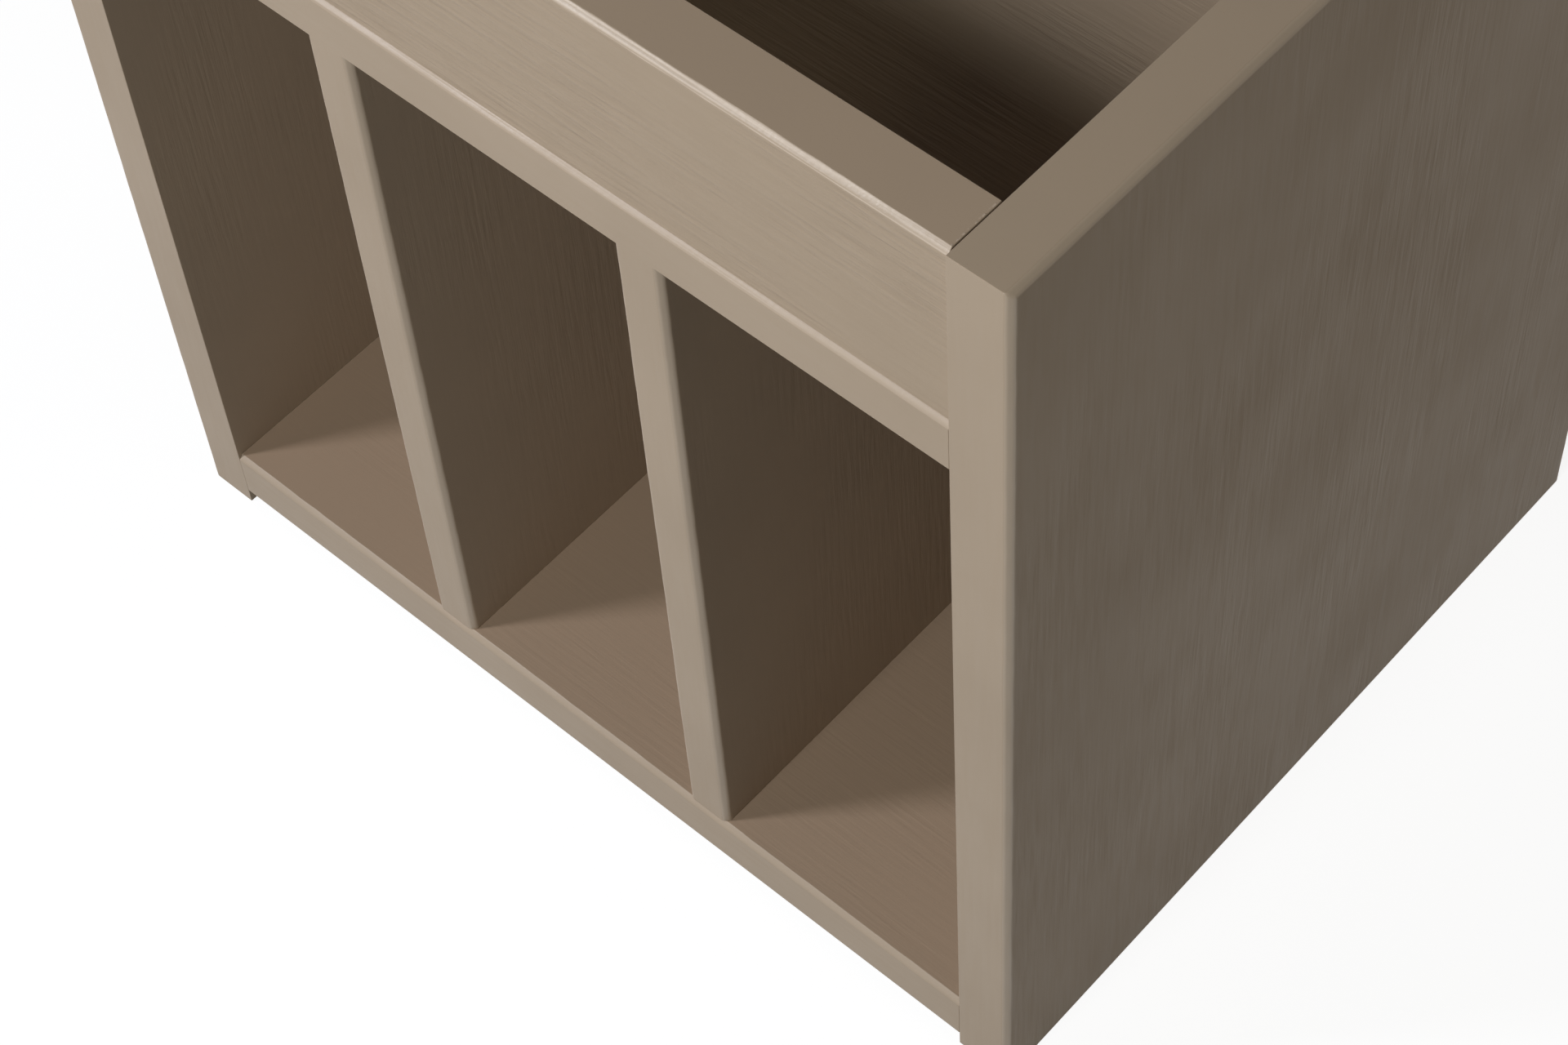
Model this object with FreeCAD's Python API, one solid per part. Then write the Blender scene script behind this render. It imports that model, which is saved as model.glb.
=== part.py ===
import FreeCAD, Part
import math
import os

os.makedirs("parts", exist_ok=True)

# Open record cabinet, in millimetres.
# X runs to the right, Y to the back, Z up. The origin is on the floor, under the middle of the cabinet.

# Bays and overall reach
DIVIDER_NAMES = ("left", "right")
BAY_COUNT = len(DIVIDER_NAMES) + 1
BAY_WIDTH = 117.0
BAY_HEIGHT = 340.0
CABINET_DEPTH = 360.0
FOOT_HEIGHT = 8.0

# Boards
SIDE_THICKNESS = 23.0
BOTTOM_SHELF_THICKNESS = 24.0
MIDDLE_SHELF_THICKNESS = 22.0
DIVIDER_THICKNESS = 20.0
APRON_THICKNESS = 23.0
APRON_HEIGHT = 77.0
APRON_SETBACK = 1.5
DIVIDER_SETBACK = 1.0
EDGE_CHAMFER = 2.0
EASED_EDGE = 0.5

# Back panel, sunk in a rebate of each side panel
BACK_THICKNESS = 6.0
BACK_REBATE_DEPTH = 8.5
BACK_REBATE_WIDTH = 10.0
BACK_EDGE_GAP = 0.5
BACK_TOP_DROP = 2.0

# Wood dowels
DOWEL_RADIUS = 4.0
DOWEL_CHAMFER = 1.0
DOWEL_FACE_REACH = 12.5
DOWEL_END_REACH = 21.5
DOWEL_INSET = 46.0
APRON_DOWEL_SHARES = (0.25, 0.75)

# Cam bolts, screwed into the side panels
BOLT_THREAD_RADIUS = 3.0
BOLT_THREAD_LENGTH = 11.0
BOLT_SHANK_RADIUS = 3.5
BOLT_SHANK_LENGTH = 25.0
BOLT_NECK_RADIUS = 2.4
BOLT_HEAD_RADIUS = 3.4
BOLT_HEAD_LENGTH = 3.0
BOLT_BORE_RADIUS = 4.0
BOLT_INSET = 86.0

# Cam locks, sunk in the boards that the bolts pull
CAM_RADIUS = 7.4
CAM_REACH = 34.0
CAM_PAST_AXIS = 5.0
CAM_SINK = 0.5
CAM_SLOT_ROOM = 0.3
CAM_SLOT_START_DEG = -45.0
CAM_SLOT_TURN_DEG = 145.0
CAM_CROSS_LENGTH = 8.0
CAM_CROSS_WIDTH = 1.6
CAM_CROSS_DEPTH = 3.0

# Countersunk screws from below into the dividers
DIVIDER_SCREW_HEAD_RADIUS = 5.0
DIVIDER_SCREW_RIM = 0.6
DIVIDER_SCREW_RADIUS = 2.5
DIVIDER_SCREW_LENGTH = 58.0
DIVIDER_SCREW_TIP_LENGTH = 3.0
DIVIDER_SCREW_TIP_RADIUS = 0.5
DIVIDER_SCREW_SINK = 0.5
DIVIDER_SCREW_INSET = 92.0

# Pan head screws through the back panel
BACK_SCREW_HEAD_RADIUS = 3.2
BACK_SCREW_HEAD_HEIGHT = 2.0
BACK_SCREW_CROWN = 1.0
BACK_SCREW_RADIUS = 1.5
BACK_SCREW_LENGTH = 18.0
BACK_SCREW_SIDE_SHARES = (0.05, 0.35, 0.65, 0.95)
BACK_SCREW_BAY_SHARES = (0.33, 0.67)

# Shared fits
FIT_CLEARANCE = 0.1
BORE_ROOM = 0.5
CUT_OVERRUN = 1.0
SAME_PLACE = 0.001

# Dowels, bolts, cams, screws and their bores have this many flats around
HARDWARE_FLATS = 10

# Planes worked out from the sizes above
INNER_HALF = (BAY_COUNT * BAY_WIDTH + (BAY_COUNT - 1) * DIVIDER_THICKNESS) / 2
OUTER_HALF = INNER_HALF + SIDE_THICKNESS
FRONT = -CABINET_DEPTH / 2
REAR = CABINET_DEPTH / 2
BACK_SEAT = REAR - BACK_REBATE_DEPTH
BOTTOM_LOW = FOOT_HEIGHT
BOTTOM_TOP = BOTTOM_LOW + BOTTOM_SHELF_THICKNESS
MIDDLE_LOW = BOTTOM_TOP + BAY_HEIGHT
MIDDLE_TOP = MIDDLE_LOW + MIDDLE_SHELF_THICKNESS
TOP = MIDDLE_TOP + APRON_HEIGHT
APRON_FRONT = FRONT + APRON_SETBACK
APRON_MIDDLE = APRON_FRONT + APRON_THICKNESS / 2
BOTTOM_MIDDLE = (BOTTOM_LOW + BOTTOM_TOP) / 2
MIDDLE_MIDDLE = (MIDDLE_LOW + MIDDLE_TOP) / 2
BAY_PITCH = BAY_WIDTH + DIVIDER_THICKNESS
BAY_CENTRES = [BAY_PITCH * (bay - (BAY_COUNT - 1) / 2) for bay in range(BAY_COUNT)]
DIVIDER_CENTRES = [centre + BAY_PITCH / 2 for centre in BAY_CENTRES[:-1]]
SIDES = {"left": -1, "right": 1}

UP = FreeCAD.Vector(0, 0, 1)
RIGHT = FreeCAD.Vector(1, 0, 0)
BACKWARDS = FreeCAD.Vector(0, 1, 0)


def vector(x, y, z):
    """A point or direction."""
    return FreeCAD.Vector(x, y, z)


def board(low, high):
    """A plain board between two opposite corners."""
    size = high - low
    return Part.makeBox(size.x, size.y, size.z, low)


def edges_on(shape, **place):
    """The edges whose ends all lie on the given x, y or z planes."""
    found = []
    for edge in shape.Edges:
        gaps = [abs(getattr(v.Point, axis) - at) for v in edge.Vertexes for axis, at in place.items()]
        if max(gaps) < SAME_PLACE:
            found.append(edge)
    return found


def ring(radius, height):
    """A regular outline about Z with the hardware's number of flats."""
    turns = [math.tau * flat / HARDWARE_FLATS for flat in range(HARDWARE_FLATS)]
    corners = [vector(radius * math.cos(turn), radius * math.sin(turn), height) for turn in turns]
    return Part.makePolygon(corners + corners[:1])


def turned(profile):
    """A piece about Z through (radius, height) rings, low to high, with flats in place of rounds."""
    stages = []
    for lower, upper in zip(profile, profile[1:]):
        if upper[1] > lower[1]:
            stages.append(Part.makeLoft([ring(*lower), ring(*upper)], True, True))
    return stages[0].multiFuse(stages[1:]) if len(stages) > 1 else stages[0]


def rod(radius, low, high):
    """A straight rod or bore about Z."""
    return turned([(radius, low), (radius, high)])


def aimed(shape, place, direction):
    """A copy of a shape made along +Z from the origin, turned to a direction and moved to a place."""
    copy = shape.copy()
    copy.Placement = FreeCAD.Placement(place, FreeCAD.Rotation(UP, direction))
    return copy


# Dowel joints. Each spot is a point on the joint and the direction into the board that meets it end on.

def dowel():
    """One dowel along +Z, with its joint plane at zero."""
    low = -DOWEL_FACE_REACH
    high = DOWEL_END_REACH
    tip = DOWEL_RADIUS - DOWEL_CHAMFER
    lower_end = [(tip, low), (DOWEL_RADIUS, low + DOWEL_CHAMFER)]
    upper_end = [(DOWEL_RADIUS, high - DOWEL_CHAMFER), (tip, high)]
    return turned(lower_end + upper_end)


def dowel_bore():
    """The bore for one dowel, through both boards of its joint."""
    return rod(DOWEL_RADIUS + FIT_CLEARANCE, -DOWEL_FACE_REACH - BORE_ROOM, DOWEL_END_REACH + BORE_ROOM)


def end_spots(height, inset):
    """Spots where a shelf's two ends meet the side panels, one inset from each edge."""
    rows = (FRONT + inset, BACK_SEAT - inset)
    return [(vector(s * INNER_HALF, y, height), -RIGHT * s) for s in SIDES.values() for y in rows]


def divider_dowel_spots():
    """Spots at the feet and heads of the dividers."""
    spots = []
    for x in DIVIDER_CENTRES:
        for y in (FRONT + DOWEL_INSET, BACK_SEAT - DOWEL_INSET):
            spots.append((vector(x, y, BOTTOM_TOP), UP))
            spots.append((vector(x, y, MIDDLE_LOW), -UP))
    return spots


def apron_dowel_spots():
    """Spots at the apron's two ends and along its lower edge."""
    heights = [MIDDLE_TOP + APRON_HEIGHT * share for share in APRON_DOWEL_SHARES]
    ends = [(vector(s * INNER_HALF, APRON_MIDDLE, z), -RIGHT * s) for s in SIDES.values() for z in heights]
    feet = [(vector(x, APRON_MIDDLE, MIDDLE_TOP), UP) for x in BAY_CENTRES]
    return ends + feet


# Cam joints. A bolt stands out of the side panel, and its head sits in a cam drum in the other board.

def cam_bolt():
    """One bolt along +Z, with its shank's shoulder on the panel face at zero."""
    head_low = CAM_REACH - BOLT_HEAD_LENGTH / 2
    head_high = CAM_REACH + BOLT_HEAD_LENGTH / 2
    profile = [
        (BOLT_THREAD_RADIUS, -BOLT_THREAD_LENGTH),
        (BOLT_THREAD_RADIUS, 0),
        (BOLT_SHANK_RADIUS, 0),
        (BOLT_SHANK_RADIUS, BOLT_SHANK_LENGTH),
        (BOLT_NECK_RADIUS, BOLT_SHANK_LENGTH),
        (BOLT_NECK_RADIUS, head_low),
        (BOLT_HEAD_RADIUS, head_low),
        (BOLT_HEAD_RADIUS, head_high),
    ]
    return turned(profile)


def bolt_pilot():
    """The pilot bore in the side panel."""
    return rod(BOLT_THREAD_RADIUS + FIT_CLEARANCE, -BOLT_THREAD_LENGTH - BORE_ROOM, CUT_OVERRUN)


def bolt_bore():
    """The bore that lets the bolt into the end of the pulled board, as far as the cam."""
    return rod(BOLT_BORE_RADIUS, -CUT_OVERRUN, CAM_REACH)


def cam_depth(thickness):
    """How deep a cam drum reaches into a board of this thickness."""
    return thickness / 2 + CAM_PAST_AXIS


def cam_bore(thickness):
    """The blind bore for a cam drum, along +Z from the face that it is let into."""
    return rod(CAM_RADIUS + FIT_CLEARANCE, -CUT_OVERRUN, cam_depth(thickness))


def cam(thickness):
    """One cam drum along +Z from the board's face, its slot open to a bolt that comes from +X."""
    axis_height = thickness / 2
    drum = rod(CAM_RADIUS, CAM_SINK, cam_depth(thickness))
    head_half = BOLT_HEAD_RADIUS + CAM_SLOT_ROOM
    neck_half = BOLT_NECK_RADIUS + CAM_SLOT_ROOM
    cavity_reach = math.hypot(BOLT_HEAD_RADIUS, BOLT_HEAD_LENGTH / 2) + FIT_CLEARANCE
    cavity_radius = cavity_reach / math.cos(math.pi / HARDWARE_FLATS)
    cavity = rod(cavity_radius, axis_height - head_half, axis_height + head_half)
    slot_reach = CAM_RADIUS + CUT_OVERRUN
    slot_corners = [
        vector(0, 0, axis_height - neck_half),
        vector(slot_reach, 0, axis_height - neck_half),
        vector(slot_reach, 0, axis_height + neck_half),
        vector(0, 0, axis_height + neck_half),
    ]
    slot = Part.Face(Part.makePolygon(slot_corners + slot_corners[:1]))
    slot = slot.revolve(vector(0, 0, 0), UP, CAM_SLOT_TURN_DEG)
    slot.rotate(vector(0, 0, 0), UP, CAM_SLOT_START_DEG)
    entry_angle = math.radians(CAM_SLOT_START_DEG + CAM_SLOT_TURN_DEG)
    entry_direction = vector(math.cos(entry_angle), math.sin(entry_angle), 0)
    entry = aimed(rod(head_half, 0, slot_reach), vector(0, 0, axis_height), entry_direction)
    return drum.cut([cavity, slot, entry] + cam_cross())


def cam_cross():
    """The two slots of the driver recess in the cam's outer face."""
    half_length = CAM_CROSS_LENGTH / 2
    half_width = CAM_CROSS_WIDTH / 2
    low = CAM_SINK - CUT_OVERRUN
    high = CAM_SINK + CAM_CROSS_DEPTH
    long_slot = board(vector(-half_length, -half_width, low), vector(half_length, half_width, high))
    cross_slot = board(vector(-half_width, -half_length, low), vector(half_width, half_length, high))
    return [long_slot, cross_slot]


def apron_bolt_spots():
    """Spots for the bolts at half the apron's height."""
    height = MIDDLE_TOP + APRON_HEIGHT / 2
    return [(vector(s * INNER_HALF, APRON_MIDDLE, height), -RIGHT * s) for s in SIDES.values()]


def cam_seats(bolt_spots, thickness, depth_direction):
    """Where each bolt's cam is let in: the point on the board's face, and the turn of the cam's mouth."""
    seats = []
    for spot, inwards in bolt_spots:
        place = spot + inwards * CAM_REACH - depth_direction * (thickness / 2)
        turn = FreeCAD.Rotation(-inwards, depth_direction.cross(-inwards), depth_direction, "ZXY")
        seats.append(FreeCAD.Placement(place, turn))
    return seats


def at_seats(shape, seats):
    """A copy of the shape at each seat."""
    copies = []
    for seat in seats:
        copy = shape.copy()
        copy.Placement = seat
        copies.append(copy)
    return copies


# Screws

def divider_screw(clearance):
    """One countersunk screw along +Z from its head, or its bore when given a clearance."""
    head = DIVIDER_SCREW_HEAD_RADIUS + clearance
    shank = DIVIDER_SCREW_RADIUS + clearance
    neck = DIVIDER_SCREW_RIM + head - shank
    length = DIVIDER_SCREW_LENGTH + clearance
    mouth = -(DIVIDER_SCREW_SINK + CUT_OVERRUN) if clearance else 0
    tip = DIVIDER_SCREW_TIP_RADIUS + clearance
    cone = [(head, mouth), (head, DIVIDER_SCREW_RIM), (shank, neck)]
    point = [(shank, length - DIVIDER_SCREW_TIP_LENGTH), (tip, length)]
    return turned(cone + point)


def divider_screw_spots():
    """Head places under the bottom shelf, below each divider."""
    height = BOTTOM_LOW + DIVIDER_SCREW_SINK
    rows = (FRONT + DIVIDER_SCREW_INSET, BACK_SEAT - DIVIDER_SCREW_INSET)
    return [(vector(x, y, height), UP) for x in DIVIDER_CENTRES for y in rows]


def back_screw():
    """One pan head screw along +Z, its head's seat at zero and its crown below."""
    crown = BACK_SCREW_HEAD_RADIUS - BACK_SCREW_CROWN
    profile = [
        (crown, -BACK_SCREW_HEAD_HEIGHT),
        (BACK_SCREW_HEAD_RADIUS, BACK_SCREW_CROWN - BACK_SCREW_HEAD_HEIGHT),
        (BACK_SCREW_HEAD_RADIUS, 0),
        (BACK_SCREW_RADIUS, 0),
        (BACK_SCREW_RADIUS, BACK_SCREW_LENGTH),
    ]
    return turned(profile)


def back_screw_bore():
    """The bore for one back screw, through the panel and into the board behind it."""
    return rod(BACK_SCREW_RADIUS + FIT_CLEARANCE, -CUT_OVERRUN, BACK_SCREW_LENGTH + BORE_ROOM)


def back_screw_spots():
    """Head seats on the back panel: down both side panels, along the shelves and down the dividers."""
    places = []
    for s in SIDES.values():
        x = s * (INNER_HALF + BACK_REBATE_WIDTH / 2)
        places += [(x, BOTTOM_LOW + (TOP - BOTTOM_LOW) * share) for share in BACK_SCREW_SIDE_SHARES]
    for height in (BOTTOM_MIDDLE, MIDDLE_MIDDLE):
        places += [(x, height) for x in BAY_CENTRES]
    for x in DIVIDER_CENTRES:
        places += [(x, BOTTOM_TOP + BAY_HEIGHT * share) for share in BACK_SCREW_BAY_SHARES]
    seat = BACK_SEAT + BACK_THICKNESS
    return [(vector(x, seat, z), -BACKWARDS) for x, z in places]


def at_spots(shape, spots):
    """A copy of the shape at each spot, along the spot's direction."""
    return [aimed(shape, place, direction) for place, direction in spots]


# Boards

def side_panel(s, tools):
    """A side panel: its outer edges chamfered, its top front edge eased, its inner rear edge rebated."""
    inner = s * INNER_HALF
    outer = s * OUTER_HALF
    panel = board(vector(min(inner, outer), FRONT, 0), vector(max(inner, outer), REAR, TOP))
    outer_edges = edges_on(panel, x=outer, y=FRONT) + edges_on(panel, x=outer, y=REAR)
    outer_edges += edges_on(panel, x=outer, z=TOP)
    panel = panel.makeChamfer(EDGE_CHAMFER, outer_edges)
    panel = panel.makeChamfer(EASED_EDGE, edges_on(panel, y=FRONT, z=TOP))
    rebate_end = inner + s * BACK_REBATE_WIDTH
    before = inner - s * CUT_OVERRUN
    rebate = board(
        vector(min(before, rebate_end), BACK_SEAT, -CUT_OVERRUN),
        vector(max(before, rebate_end), REAR + CUT_OVERRUN, TOP + CUT_OVERRUN),
    )
    return panel.cut([rebate] + tools)


def shelf(low, high, tools):
    """A shelf between the side panels, with its top front edge chamfered."""
    plain = board(vector(-INNER_HALF, FRONT, low), vector(INNER_HALF, BACK_SEAT, high))
    return plain.makeChamfer(EDGE_CHAMFER, edges_on(plain, y=FRONT, z=high)).cut(tools)


def divider(centre, tools):
    """An upright between the shelves, with both front edges chamfered."""
    half = DIVIDER_THICKNESS / 2
    front = FRONT + DIVIDER_SETBACK
    plain = board(vector(centre - half, front, BOTTOM_TOP), vector(centre + half, BACK_SEAT, MIDDLE_LOW))
    front_edges = edges_on(plain, x=centre - half, y=front) + edges_on(plain, x=centre + half, y=front)
    return plain.makeChamfer(EDGE_CHAMFER, front_edges).cut(tools)


def front_apron(tools):
    """The board that stands on the middle shelf and closes the front of the bin."""
    rear = APRON_FRONT + APRON_THICKNESS
    plain = board(vector(-INNER_HALF, APRON_FRONT, MIDDLE_TOP), vector(INNER_HALF, rear, TOP))
    return plain.makeChamfer(EDGE_CHAMFER, edges_on(plain, y=APRON_FRONT, z=TOP)).cut(tools)


def back_panel(tools):
    """The thin sheet that lies in the rebates and against the rear edges of shelves and dividers."""
    half = INNER_HALF + BACK_REBATE_WIDTH - BACK_EDGE_GAP
    low = vector(-half, BACK_SEAT, BOTTOM_LOW)
    high = vector(half, BACK_SEAT + BACK_THICKNESS, TOP - BACK_TOP_DROP)
    return board(low, high).cut(tools)


# Where the hardware sits
bottom_dowel_spots = end_spots(BOTTOM_MIDDLE, DOWEL_INSET)
middle_dowel_spots = end_spots(MIDDLE_MIDDLE, DOWEL_INSET)
bottom_bolt_spots = end_spots(BOTTOM_MIDDLE, BOLT_INSET)
middle_bolt_spots = end_spots(MIDDLE_MIDDLE, BOLT_INSET)
bottom_cam_seats = cam_seats(bottom_bolt_spots, BOTTOM_SHELF_THICKNESS, UP)
middle_cam_seats = cam_seats(middle_bolt_spots, MIDDLE_SHELF_THICKNESS, UP)
apron_cam_seats = cam_seats(apron_bolt_spots(), APRON_THICKNESS, -BACKWARDS)

# Bores, cut with the same places as the hardware
bottom_dowel_bores = at_spots(dowel_bore(), bottom_dowel_spots)
middle_dowel_bores = at_spots(dowel_bore(), middle_dowel_spots)
divider_dowel_bores = at_spots(dowel_bore(), divider_dowel_spots())
apron_dowel_bores = at_spots(dowel_bore(), apron_dowel_spots())
pilots = at_spots(bolt_pilot(), bottom_bolt_spots + middle_bolt_spots + apron_bolt_spots())
bottom_cam_bores = at_spots(bolt_bore(), bottom_bolt_spots)
bottom_cam_bores += at_seats(cam_bore(BOTTOM_SHELF_THICKNESS), bottom_cam_seats)
middle_cam_bores = at_spots(bolt_bore(), middle_bolt_spots)
middle_cam_bores += at_seats(cam_bore(MIDDLE_SHELF_THICKNESS), middle_cam_seats)
apron_cam_bores = at_spots(bolt_bore(), apron_bolt_spots())
apron_cam_bores += at_seats(cam_bore(APRON_THICKNESS), apron_cam_seats)
divider_screw_bores = at_spots(divider_screw(FIT_CLEARANCE), divider_screw_spots())
back_screw_bores = at_spots(back_screw_bore(), back_screw_spots())

side_tools = bottom_dowel_bores + middle_dowel_bores + apron_dowel_bores + pilots + back_screw_bores
bottom_tools = bottom_dowel_bores + divider_dowel_bores + bottom_cam_bores
bottom_tools += divider_screw_bores + back_screw_bores
middle_tools = middle_dowel_bores + divider_dowel_bores + apron_dowel_bores
middle_tools += middle_cam_bores + back_screw_bores
divider_tools = divider_dowel_bores + divider_screw_bores + back_screw_bores

nodes = {
    "bottom_shelf": shelf(BOTTOM_LOW, BOTTOM_TOP, bottom_tools),
    "middle_shelf": shelf(MIDDLE_LOW, MIDDLE_TOP, middle_tools),
    "front_apron": front_apron(apron_dowel_bores + apron_cam_bores),
    "back_panel": back_panel(back_screw_bores),
    "bottom_shelf_dowels": Part.makeCompound(at_spots(dowel(), bottom_dowel_spots)),
    "middle_shelf_dowels": Part.makeCompound(at_spots(dowel(), middle_dowel_spots)),
    "divider_dowels": Part.makeCompound(at_spots(dowel(), divider_dowel_spots())),
    "apron_dowels": Part.makeCompound(at_spots(dowel(), apron_dowel_spots())),
    "bottom_shelf_cam_bolts": Part.makeCompound(at_spots(cam_bolt(), bottom_bolt_spots)),
    "middle_shelf_cam_bolts": Part.makeCompound(at_spots(cam_bolt(), middle_bolt_spots)),
    "apron_cam_bolts": Part.makeCompound(at_spots(cam_bolt(), apron_bolt_spots())),
    "bottom_shelf_cams": Part.makeCompound(at_seats(cam(BOTTOM_SHELF_THICKNESS), bottom_cam_seats)),
    "middle_shelf_cams": Part.makeCompound(at_seats(cam(MIDDLE_SHELF_THICKNESS), middle_cam_seats)),
    "apron_cams": Part.makeCompound(at_seats(cam(APRON_THICKNESS), apron_cam_seats)),
    "divider_screws": Part.makeCompound(at_spots(divider_screw(0), divider_screw_spots())),
    "back_panel_screws": Part.makeCompound(at_spots(back_screw(), back_screw_spots())),
}
for side_name, side_sign in SIDES.items():
    nodes["side_panel_" + side_name] = side_panel(side_sign, side_tools)
for divider_name, divider_centre in zip(DIVIDER_NAMES, DIVIDER_CENTRES):
    nodes["divider_" + divider_name] = divider(divider_centre, divider_tools)

for node_name, node_shape in nodes.items():
    node_shape.exportStep("parts/" + node_name + ".step")
    print(node_name, len(node_shape.Solids))
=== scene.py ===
"""Looks of a small open record cabinet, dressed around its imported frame. Sizes are in metres."""

import logging
import math
from collections.abc import Callable, Iterator
from contextlib import contextmanager
from dataclasses import dataclass
from enum import Enum
from functools import cached_property

import bmesh
import bpy
from mathutils import Matrix, Vector, noise


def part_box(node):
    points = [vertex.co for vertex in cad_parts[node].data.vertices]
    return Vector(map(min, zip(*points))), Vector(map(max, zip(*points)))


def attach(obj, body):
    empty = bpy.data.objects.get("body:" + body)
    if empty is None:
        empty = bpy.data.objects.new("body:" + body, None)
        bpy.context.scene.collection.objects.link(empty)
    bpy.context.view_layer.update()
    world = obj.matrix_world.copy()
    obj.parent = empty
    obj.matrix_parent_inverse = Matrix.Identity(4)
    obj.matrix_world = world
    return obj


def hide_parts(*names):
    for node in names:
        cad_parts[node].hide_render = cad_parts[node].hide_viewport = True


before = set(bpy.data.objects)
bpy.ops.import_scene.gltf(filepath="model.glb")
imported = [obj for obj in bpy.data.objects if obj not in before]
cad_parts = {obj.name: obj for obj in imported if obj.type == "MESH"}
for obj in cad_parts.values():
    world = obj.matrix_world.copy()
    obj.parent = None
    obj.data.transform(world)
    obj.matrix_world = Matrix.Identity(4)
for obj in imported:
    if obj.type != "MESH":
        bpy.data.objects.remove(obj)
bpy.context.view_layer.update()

LOG = logging.getLogger("record_cabinet")
BODY = "root"
SAME_PLACE = 1e-5
SMOOTH_DEG = 60
FLAT_FACE_WEIGHT = 50
QUARTER_TURN = math.radians(90)
UP = Vector((0, 0, 1))
WHITE = (1, 1, 1, 1)

Colour = tuple[float, float, float, float]
Triple = tuple[float, float, float]
Span = tuple[float, float]
Profile = list[tuple[float, float]]
Socket = bpy.types.NodeSocket
Value = Socket | float | tuple[float, ...]
MeshElement = bmesh.types.BMEdge | bmesh.types.BMFace


class Face(Enum):
    """The six faces of a board, as an axis and the side of it."""

    LEFT = (0, -1)
    RIGHT = (0, 1)
    FRONT = (1, -1)
    BACK = (1, 1)
    BOTTOM = (2, -1)
    TOP = (2, 1)

    @property
    def axis(self) -> int:
        """The index of the axis that the face looks along."""
        return self.value[0]

    @property
    def sign(self) -> int:
        """Which way along its axis the face looks."""
        return self.value[1]

    @property
    def normal(self) -> Vector:
        """The direction that the face looks in."""
        return Vector([self.sign if axis == self.axis else 0 for axis in range(3)])


FacePair = tuple[Face, Face]


def run_axis(pair: FacePair) -> int:
    """The index of the axis that the edge between two faces runs along."""
    return ({0, 1, 2} - {face.axis for face in pair}).pop()


class Element(Enum):
    """The elements of a mesh that are selected in code."""

    EDGE = "edges"
    FACE = "faces"


class Mark(Enum):
    """The marks that a board's faces carry for its paint."""

    BRUSHED = "brushed_face"
    POLISHED = "polished_edge"
    # A painted highlight: lighter colour along chamfers that look up and to the front.
    RUBBED = "rubbed_edge"
    BEADED = "beaded_top"
    # Painted shade: a darker, warmer colour on up-facing faces.
    WORN = "worn_floor"


class Slot(Enum):
    """The material slots that the record names."""

    UPRIGHT = "painted_upright"
    LEVEL = "painted_level"
    BACK = "painted_back"
    DOWEL = "dowel_wood"
    STEEL = "plated_steel"
    ZINC = "cast_zinc"

    @property
    def grain_axis(self) -> int:
        """The index of the axis that the wood's grain runs along."""
        return 2 if self is Slot.UPRIGHT else 0


@dataclass(frozen=True)
class Box:
    """A box between its lowest and its highest corner."""

    low: Vector
    high: Vector

    def plane(self, face: Face) -> float:
        """Where one of the faces lies on its axis."""
        return (self.low if face.sign < 0 else self.high)[face.axis]

    def size(self) -> Vector:
        """The length of each side."""
        return self.high - self.low

    def middle(self) -> Vector:
        """The box's centre."""
        return (self.low + self.high) / 2


def node_box(node: str) -> Box:
    """The box of a CAD node at rest."""
    return Box(*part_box(node))


def solid_boxes(node: str) -> list[Box]:
    """The boxes of the separate solids that share one CAD node.

    Args:
        node: The node's name.

    Returns:
        One box for each solid, in the order that the mesh holds them.
    """
    mesh = bmesh.new()
    mesh.from_mesh(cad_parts[node].data)
    bmesh.ops.remove_doubles(mesh, verts=mesh.verts, dist=SAME_PLACE)
    waiting = dict.fromkeys(mesh.verts)
    boxes = []
    while waiting:
        corners = [waiting.popitem()[0]]
        for corner in corners:
            for edge in corner.link_edges:
                other = edge.other_vert(corner)
                if other in waiting:
                    del waiting[other]
                    corners.append(other)
        reach = [[corner.co[axis] for corner in corners] for axis in range(3)]
        boxes.append(Box(Vector(map(min, reach)), Vector(map(max, reach))))
    mesh.free()
    return boxes


def start_clean() -> None:
    """Leave nothing selected, so that the next operator meets only its own piece."""
    bpy.ops.object.select_all(action="DESELECT")


def take(piece: bpy.types.Object) -> None:
    """Make a piece the only selected and the active one.

    Args:
        piece: The piece to work on.
    """
    start_clean()
    piece.select_set(True)
    bpy.context.view_layer.objects.active = piece


@contextmanager
def edit(piece: bpy.types.Object) -> Iterator[None]:
    """Work on a piece in edit mode, with nothing selected at the start.

    Args:
        piece: The piece to work on.

    Yields:
        Nothing, while the piece is in edit mode.
    """
    take(piece)
    bpy.ops.object.mode_set(mode="EDIT")
    bpy.ops.mesh.select_all(action="DESELECT")
    yield
    bpy.ops.object.mode_set(mode="OBJECT")


def select(piece: bpy.types.Object, element: Element, wanted: Callable[[MeshElement], bool]) -> None:
    """Select the edges or faces that pass a test, in edit mode.

    Args:
        piece: The piece in edit mode.
        element: Whether edges or faces are tested.
        wanted: Says whether one of them is selected.
    """
    bpy.ops.mesh.select_mode(type=element.name)
    mesh = bmesh.from_edit_mesh(piece.data)
    for each in getattr(mesh, element.value):
        each.select_set(wanted(each))
    bmesh.update_edit_mesh(piece.data)


def apply_modifier(piece: bpy.types.Object, kind: str, **settings: object) -> None:
    """Add a modifier to a piece and apply it at once.

    Args:
        piece: The piece to finish.
        kind: The modifier's type.
        settings: Values for the modifier's properties.
    """
    take(piece)
    modifier = piece.modifiers.new(kind.lower(), kind)
    for name, value in settings.items():
        setattr(modifier, name, value)
    bpy.ops.object.modifier_apply(modifier=modifier.name)


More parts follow.
